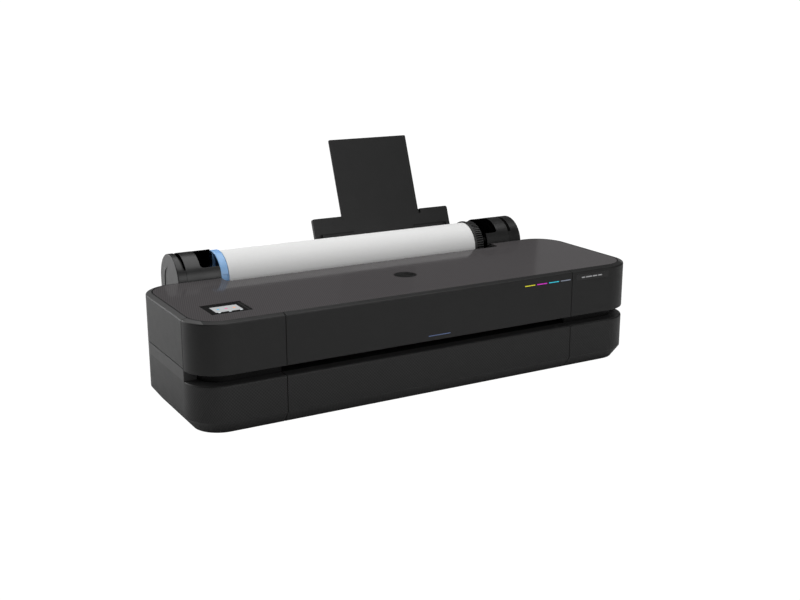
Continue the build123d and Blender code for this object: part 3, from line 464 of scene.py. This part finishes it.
def make_finishes():
    shell = moulded("shell_moulding", 0.0112, 0.0122, level=0.27)
    finishes = {
        "shell": shell,
        "side": rim_painted_light_and_shade("side_moulding", 0.0112, 0.0122),
        "front": moulded("door_moulding", 0.0110, 0.0120, level=0.27),
        "housing": inner_painted_shade("housing_moulding", 0.0105, 0.0120, (0.0, HOUSING_SKIN)),
        "cap": cap_moulding("cap_moulding", 0.0100, 0.0115),
        "wheel": inner_painted_shade("hand_wheel", 0.026, 0.031, WHEEL_GAPS, (0.40, 0.46)),
        "guide": guide_moulding("guide_moulding", 0.0120, 0.0145),
        "tray": moulded("tray_moulding", 0.0130, 0.0150, grain=1.2, depth=0.02, level=0.3),
        "lower_left": lattice_moulded("lower_left_lattice", -1, 0.0050, 0.0185),
        "lower_right": lattice_moulded("lower_right_lattice", 1, 0.0050, 0.0185),
        "top": top_plate("top_plate_lattice", (0.056, 0.052, 0.054), (0.096, 0.090, 0.092)),
        "lining": moulded("dark_lining", 0.003, 0.004, (0.5, 0.6), level=0.15),
        "gloss": gloss("gloss_black", 0.004),
        "screen": lit_screen("display_panel"),
        "paper": paper("bond_paper"),
        "card": card("core_board"),
        "blue": collar_plastic("blue_hub", (0.29, 0.54, 0.90), (0.02, 0.05, 0.11)),
        "steel": metal("pressed_steel", 0.42, 0.52, (0.30, 0.45), (12, 1, 1)),
        "chrome": metal("ground_shaft", 0.62, 0.72, (0.10, 0.20)),
        "rubber": rubber("black_rubber"),
        "grit": grit("roller_grit"),
        "gear": tinted("acetal_gear", (0.62, 0.61, 0.56), (0.35, 0.45)),
        "grey": moulded("grey_moulding", 0.07, 0.09, (0.45, 0.55)),
        "board": circuit_board("circuit_board"),
        "tube": clear_tube("clear_tube"),
    }
    for ink, tone in INK_COLOURS.items():
        finishes["ink_" + ink] = tinted("cartridge_" + ink, tone)
    return finishes


NODE_FINISHES = {
    "shell": ["rear_panel", "rear_housing", "power_button"],
    "side": ["left_side_panel", "right_side_panel", "upper_left_cover", "upper_right_cover"],
    "front": ["front_door"],
    "housing": ["roll_housing_left", "roll_housing_right"],
    "cap": ["roll_cap_left", "roll_cap_right"],
    "wheel": ["flange_right"],
    "tray": ["tray_panel", "tray_extension"],
    "guide": ["sheet_guide_left", "sheet_guide_right"],
    "lower_left": ["lower_left_cover"],
    "lower_right": ["lower_right_cover", "lower_front_panel"],
    "top": ["top_cover"],
    "lining": ["slot_liners", "platen", "rear_sockets", "ink_bay", "spindle_bearings", "spindle_shaft"],
    "gloss": ["display_bezel"],
    "screen": ["display_screen"],
    "paper": ["paper_roll"],
    "card": ["roll_core"],
    "blue": ["collar_left"],
    "steel": ["base_pan", "print_frame", "carriage_beam", "drive_pulley", "idler_pulley", "carriage_motor",
              "feed_motor", "feed_pinion", "power_supply", "cover_screws"],
    "chrome": ["carriage_rod", "exit_roller"],
    "rubber": ["rubber_feet", "carriage_belt", "pinch_rollers"],
    "grit": ["feed_roller"],
    "gear": ["idler_gear"],
    "grey": ["carriage", "printhead", "paper_guide", "cutter_carriage", "service_station"],
    "board": ["mainboard"],
    "tube": ["ink_tubes"],
    "ink_yellow": ["cartridge_yellow"],
    "ink_magenta": ["cartridge_magenta"],
    "ink_cyan": ["cartridge_cyan"],
    "ink_black": ["cartridge_black"],
}


def dress_nodes(nodes, finishes):
    """Gives every CAD node its finish."""
    for name, members in NODE_FINISHES.items():
        for node in members:
            for place in nodes[node].material_slots:
                place.material = finishes[name]


# ---------------------------------------------------------------- small added pieces
def plaque(name, centre, size, corner, thickness, facing, material, body, eased=True):
    """A plate with rounded corners, facing the front or the top of the object, in mm.

    centre is the middle of its back face, and size is its width and its height or depth. Its front edges
    are eased unless told otherwise.
    """
    bm = bmesh.new()
    half_w, half_h = size[0] / 2, size[1] / 2
    corner = min(corner, half_w, half_h)
    steps = 8
    outline = []
    for quarter, (sx, sy) in enumerate(((1, 1), (-1, 1), (-1, -1), (1, -1))):
        for step in range(steps + 1):
            turn = math.radians(90 * quarter + 90 * step / steps)
            u = sx * (half_w - corner) + corner * math.cos(turn)
            v = sy * (half_h - corner) + corner * math.sin(turn)
            outline.append((u, v))
    kept = [p for i, p in enumerate(outline) if math.dist(p, outline[i - 1]) > 1e-6]
    if facing == "front":
        across, up, out = Vector((1, 0, 0)), Vector((0, 0, 1)), Vector((0, -1, 0))
    else:
        across, up, out = Vector((1, 0, 0)), Vector((0, 1, 0)), Vector((0, 0, 1))
    middle = Vector(centre)
    ring = [bm.verts.new((middle + across * u + up * v) * MM) for u, v in kept]
    back = bm.faces.new(ring)
    raised = bmesh.ops.extrude_face_region(bm, geom=[back])
    moved = [item for item in raised["geom"] if isinstance(item, bmesh.types.BMVert)]
    bmesh.ops.translate(bm, verts=moved, vec=out * thickness * MM)
    front = {item for item in raised["geom"] if isinstance(item, bmesh.types.BMEdge)}
    if eased:
        bmesh.ops.bevel(bm, geom=list(front), offset=thickness * 0.4 * MM, segments=2, affect="EDGES")
    bmesh.ops.recalc_face_normals(bm, faces=bm.faces)
    mesh = bpy.data.meshes.new(name)
    bm.to_mesh(mesh)
    bm.free()
    mesh.materials.append(material)
    piece = bpy.data.objects.new(name, mesh)
    bpy.context.scene.collection.objects.link(piece)
    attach(piece, body)
    return piece


def seam_strips(material):
    """Dark strips deep in the four upright seams of the front, so that no light shows through them. They
    are dark sheets that stand in for the shade in the seams.
    """
    thick, deep = 1.0, 9.4
    front_recess, side_recess = 1.6, 2.3
    half_w, half_d = BODY_HALF
    top = TOP - SEAM_TOP
    front_x = (FRONT_SEAM[0] + FRONT_SEAM[1]) / 2
    front_y = front_recess + deep / 2 - half_d
    side_x = half_w - side_recess - deep / 2
    side_y = (SIDE_SEAM[0] + SIDE_SEAM[1]) / 2
    for side, word in ((-1, "left"), (1, "right")):
        strips = {
            "front": ((side * front_x, front_y), (thick, deep), FRONT_SEAM[2]),
            "side": ((side * side_x, side_y), (deep, thick), SIDE_SEAM[2]),
        }
        for seam, (place, size, bottom) in strips.items():
            # dark sheets standing in for the shade in the seams
            plaque(f"seam_strip_{seam}_{word}", (*place, bottom), size, 0.1, top - bottom, "top", material,
                   "chassis", eased=False)


def ink_marks():
    """Four short inlaid bars on the door, one for each cartridge, with a faint glow that is painted light.
    """
    first_x, pitch, height = 219.7, 30.5, 198.9
    for index, (ink, tone) in enumerate(INK_COLOURS.items()):
        # painted light: the bars are no lamps, yet glow faintly
        material = glowing("ink_mark_" + ink, tone, 0.2)
        centre = (first_x + pitch * index, DOOR_FRONT + 0.3, height)
        plaque("ink_mark_" + ink, centre, (26.0, 2.0), 0.8, 0.28, "front", material, "door")


def status_light():
    """The light guide let into the door's lower edge."""
    material = glowing("status_glow", (0.10, 0.15, 0.30), 0.12)
    centre = (1.5, DOOR_FRONT + 0.55, 127.2)
    plaque("status_light", centre, (50.6, 1.7), 0.6, 0.45, "front", material, "door")


def blank_inlay():
    """A plain round plate on the top cover."""
    material = moulded("inlay_satin", 0.005, 0.007, (0.3, 0.36), level=0.05)
    plaque("blank_inlay", (10.0, -13.0, TOP - 0.2), (48.0, 48.0), 24.0, 0.2, "top", material, "chassis")


def nameplate():
    """The plate let into the right cover, with a few plain printed dashes in place of a name."""
    middle, height = 383.5, 199.9
    plate = moulded("nameplate_satin", 0.0150, 0.0165, (0.30, 0.34), level=0.3)
    centre = (middle, DOOR_FRONT + 0.6, height)
    plaque("nameplate", centre, (88.0, 13.2), 1.5, 0.5, "front", plate, "chassis")
    print_white = tinted("print_white", (0.42, 0.42, 0.43))
    left, gap = 353.7, 2.3
    for index, width in enumerate((9.0, 16.0, 12.0, 11.0)):
        centre = (left + width / 2, DOOR_FRONT + 0.1, height)
        plaque(f"nameplate_dash_{index + 1}", centre, (width, 2.6), 1.0, 0.06, "front", print_white,
               "chassis")
        left += width + gap


def screen_content():
    """Generic coloured dots and three soft keys on the display."""
    low, high = box_mm("display_screen")
    width, depth, _ = high - low
    face = high.z
    tones = [(0.10, 0.42, 0.60), (0.62, 0.16, 0.30), (0.78, 0.34, 0.16)]
    for index, tone in enumerate(tones):
        centre = (low.x + width * (0.2 + 0.3 * index), low.y + depth * 0.52, face)
        plaque(f"screen_dot_{index + 1}", centre, (5.0, 7.0), 2.4, 0.06, "top",
               glowing(f"dot_glow_{index + 1}", tone, 0.5), "chassis")
    for index in range(3):
        centre = (low.x + width * (0.10 + 0.40 * index), low.y - 2.6, face + 0.25)
        plaque(f"soft_key_{index + 1}", centre, (5.0, 4.2), 0.8, 0.06, "top",
               glowing(f"key_glow_{index + 1}", (0.80, 0.86, 0.90), 0.25), "chassis")


# ---------------------------------------------------------------- stage, lights and camera
def seen_by_camera(tree):
    return tree.nodes.new("ShaderNodeLightPath").outputs["Is Camera Ray"]


def white_floor():
    """A pale floor that shows as clean white to the camera and as pale matt card to everything else."""
    bm = bmesh.new()
    reach = 12.0
    corners = ((-reach, -reach), (reach, -reach), (reach, reach), (-reach, reach))
    bm.faces.new([bm.verts.new((x, y, 0.0)) for x, y in corners])
    mesh = bpy.data.meshes.new("floor")
    bm.to_mesh(mesh)
    bm.free()
    floor = bpy.data.objects.new("floor", mesh)
    bpy.context.scene.collection.objects.link(floor)
    material = bpy.data.materials.new("floor_white")
    material.use_nodes = True
    tree = material.node_tree
    shader = tree.nodes["Principled BSDF"]
    shader.inputs["Base Color"].default_value = (0.9, 0.9, 0.9, 1)
    shader.inputs["Roughness"].default_value = 0.9
    shader.inputs["Specular IOR Level"].default_value = 0.1
    glow = tree.nodes.new("ShaderNodeEmission")
    glow.inputs["Strength"].default_value = 1.05
    mix = tree.nodes.new("ShaderNodeMixShader")
    tree.links.new(seen_by_camera(tree), mix.inputs[0])
    tree.links.new(shader.outputs[0], mix.inputs[1])
    tree.links.new(glow.outputs[0], mix.inputs[2])
    tree.links.new(mix.outputs[0], tree.nodes["Material Output"].inputs["Surface"])
    mesh.materials.append(material)


def studio_world(ambient):
    """White behind the object, and a low even light on it."""
    world = bpy.data.worlds.new("studio")
    bpy.context.scene.world = world
    world.use_nodes = True
    tree = world.node_tree
    backdrop = tree.nodes["Background"]
    backdrop.inputs["Color"].default_value = (1, 1, 1, 1)
    backdrop.inputs["Strength"].default_value = 1.05
    fill = tree.nodes.new("ShaderNodeBackground")
    fill.inputs["Strength"].default_value = ambient
    fill.inputs["Color"].default_value = (1, 1, 1, 1)
    mix = tree.nodes.new("ShaderNodeMixShader")
    tree.links.new(seen_by_camera(tree), mix.inputs[0])
    tree.links.new(fill.outputs[0], mix.inputs[1])
    tree.links.new(backdrop.outputs[0], mix.inputs[2])
    tree.links.new(mix.outputs[0], tree.nodes["World Output"].inputs["Surface"])


def softbox(name, place, target, size, power):
    """A large rectangular area light that points at target."""
    light = bpy.data.lights.new(name, "AREA")
    light.shape = "RECTANGLE"
    light.size, light.size_y = size
    light.energy = power
    lamp = bpy.data.objects.new(name, light)
    lamp.location = place
    lamp.rotation_euler = (Vector(target) - Vector(place)).to_track_quat("-Z", "Y").to_euler()
    lamp.visible_camera = False
    bpy.context.scene.collection.objects.link(lamp)


def studio_lights():
    softbox("left_box", (-2.2, 2.3, 0.9), (0, 0, 0.2), (2.4, 2.0), 56.0)
    softbox("overhead_box", (0.2, 0.2, 2.6), (0, 0.05, 0.1), (3.2, 2.4), 56.0)
    softbox("front_box", (0.3, -3.2, 1.4), (0, 0, 0.15), (3.2, 1.6), 38.0)
    softbox("right_box", (3.0, 2.2, 0.9), (0.4, 0, 0.2), (1.6, 1.4), 1.6)


def photo_camera():
    camera = bpy.data.cameras.new("camera")
    camera.lens = CAMERA_LENS
    camera.sensor_width = CAMERA_SENSOR
    eye = bpy.data.objects.new("camera", camera)
    eye.location = CAMERA_PLACE
    eye.rotation_euler = (math.radians(90 - CAMERA_DOWN), 0, math.radians(CAMERA_TURN))
    bpy.context.scene.collection.objects.link(eye)
    bpy.context.scene.camera = eye


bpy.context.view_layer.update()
photo_camera()
white_floor()
studio_world(0.08)
studio_lights()
bpy.context.scene.view_settings.view_transform = "Standard"
finishes = make_finishes()
dress_nodes(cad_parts, finishes)
seam_strips(finishes["lining"])
ink_marks()
status_light()
blank_inlay()
nameplate()
screen_content()
